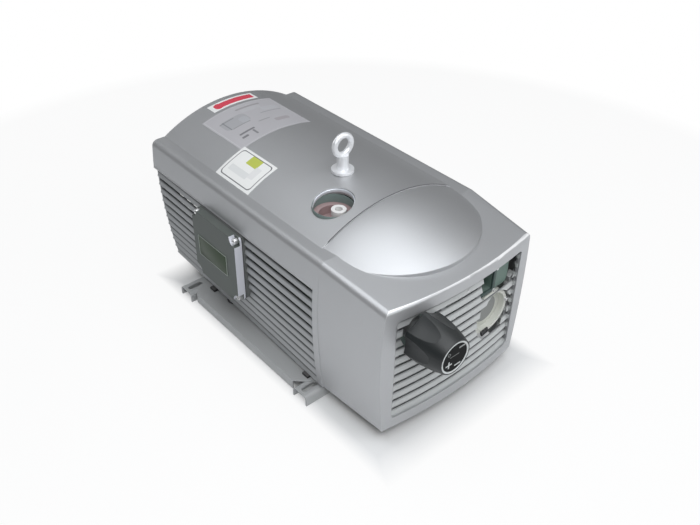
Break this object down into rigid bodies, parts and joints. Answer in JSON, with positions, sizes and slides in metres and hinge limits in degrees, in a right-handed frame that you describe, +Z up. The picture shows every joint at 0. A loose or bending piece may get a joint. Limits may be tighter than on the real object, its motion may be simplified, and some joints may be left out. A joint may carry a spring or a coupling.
{
  "type": "vacuum pump",
  "caption": "Dry-running rotary-vane vacuum pump with a flange motor under a louvred sound hood, on a base pan with bolting rails.",
  "frame": {"origin": "middle of the machine's outline, on the floor under the bolting rails", "axes": "+Z up, +Y along the shaft from the front grille to the rear, +X to the side away from the terminal box"},
  "size_m": [0.41, 0.7294, 0.4127],
  "materials": {
    "base_steel": "satin paint, grey",
    "buffer_rubber": "matt, black",
    "hood_plastic": "satin silver-grey lacquer with a fine metallic grain",
    "louvre_plastic": "satin silver-grey lacquer",
    "zinc": "zinc plated",
    "casting_green": "grey-green paint on cast iron",
    "bearing_steel": "ground",
    "rotor_iron": "machined",
    "carbon": "matt carbon",
    "coupling_alloy": "cast",
    "coupling_rubber": "soft red rubber",
    "fan_plastic": "matt black",
    "motor_paint": "grey-green paint",
    "winding": "varnished copper winding and laminations",
    "box_paint": "satin grey paint",
    "gasket_rubber": "matt, black",
    "gland_plastic": "matt black",
    "plug_plastic": "matt, pale red",
    "nipple_plastic": "matt white",
    "valve_metal": "turned",
    "knob_plastic": "moulded, near black",
    "knob_cap_plastic": "moulded light-grey ring on black",
    "valve_brass": "turned",
    "cup_plastic": "moulded, cream",
    "cup_cap": "satin grey"
  },
  "bodies": {
    "housing": {"base_pan": "base_steel", "rail_front": "base_steel", "rail_rear": "base_steel", "buffer_front_left": "buffer_rubber", "buffer_front_right": "buffer_rubber", "buffer_rear_left": "buffer_rubber", "buffer_rear_right": "buffer_rubber", "bearer_front": "base_steel", "bearer_rear": "base_steel", "hood_shell": "hood_plastic", "louvre_left": "louvre_plastic", "louvre_right": "louvre_plastic", "front_grille": "louvre_plastic", "rear_panel": "louvre_plastic", "eye_bolt": "zinc", "pump_cylinder": "casting_green", "end_plate_front": "casting_green", "end_plate_rear": "casting_green", "bearing_pump_front": "bearing_steel", "bearing_pump_rear": "bearing_steel", "bell_housing": "casting_green", "shield_front": "motor_paint", "motor_housing": "motor_paint", "motor_stator": "winding", "shield_rear": "motor_paint", "bearing_motor_front": "bearing_steel", "bearing_motor_rear": "bearing_steel", "motor_cowl": "motor_paint", "terminal_box": "box_paint", "terminal_gasket": "gasket_rubber", "terminal_lid": "box_paint", "cable_gland": "gland_plastic", "intake_port": "casting_green", "port_plug": "plug_plastic", "port_nipple": "nipple_plastic", "valve_body": "valve_metal", "valve_spring": "bearing_steel", "silencer_cup": "cup_plastic", "silencer_cap": "cup_cap", "exhaust_box": "casting_green"},
    "motor_rotor": {"motor_rotor": "rotor_iron", "motor_shaft": "bearing_steel", "coupling_motor": "coupling_alloy", "coupling_star": "coupling_rubber", "motor_fan": "fan_plastic"},
    "pump_rotor": {"pump_rotor": "rotor_iron", "pump_shaft": "bearing_steel", "vane_1": "carbon", "vane_2": "carbon", "vane_3": "carbon", "vane_4": "carbon", "vane_5": "carbon", "coupling_pump": "coupling_alloy", "cooling_fan": "fan_plastic"},
    "knob": {"regulator_knob": "knob_plastic", "knob_cap": "knob_cap_plastic"},
    "spring_plate": {"spring_plate": "valve_metal"},
    "relief_disc": {"relief_disc": "valve_brass"},
    "check_disc": {"check_disc": "valve_metal"}
  },
  "joints": [
    {"name": "motor_rotor_spin", "type": "hinge", "parent": "housing", "child": "motor_rotor", "pos_m": [0, 0.2, 0.17], "axis": [0, 1, 0], "continuous": true},
    {"name": "pump_rotor_spin", "type": "hinge", "parent": "housing", "child": "pump_rotor", "pos_m": [0, -0.1, 0.17], "axis": [0, 1, 0], "continuous": true},
    {"name": "regulator_knob_turn", "type": "hinge", "parent": "housing", "child": "knob", "pos_m": [-0.096, -0.33, 0.215], "axis": [0, 1, 0], "range_deg": [0, 2160]},
    {"name": "spring_plate_slide", "type": "slide", "parent": "housing", "child": "spring_plate", "axis": [0, 1, 0], "range_m": [0, 0.012], "deforming": ["valve_spring"]},
    {"name": "relief_disc_slide", "type": "slide", "parent": "housing", "child": "relief_disc", "axis": [0, 1, 0], "range_m": [0, 0.005], "stiffness_N_per_m": 2000},
    {"name": "check_disc_slide", "type": "slide", "parent": "housing", "child": "check_disc", "axis": [0, 0, 1], "range_m": [-0.008, 0], "stiffness_N_per_m": 250, "springref_m": 0.004}
  ],
  "couplings": [
    {"joint": "pump_rotor_spin", "follows": "motor_rotor_spin", "ratio": 1},
    {"joint": "spring_plate_slide", "follows": "regulator_knob_turn", "m_per_rad": 0.00031831}
  ]
}
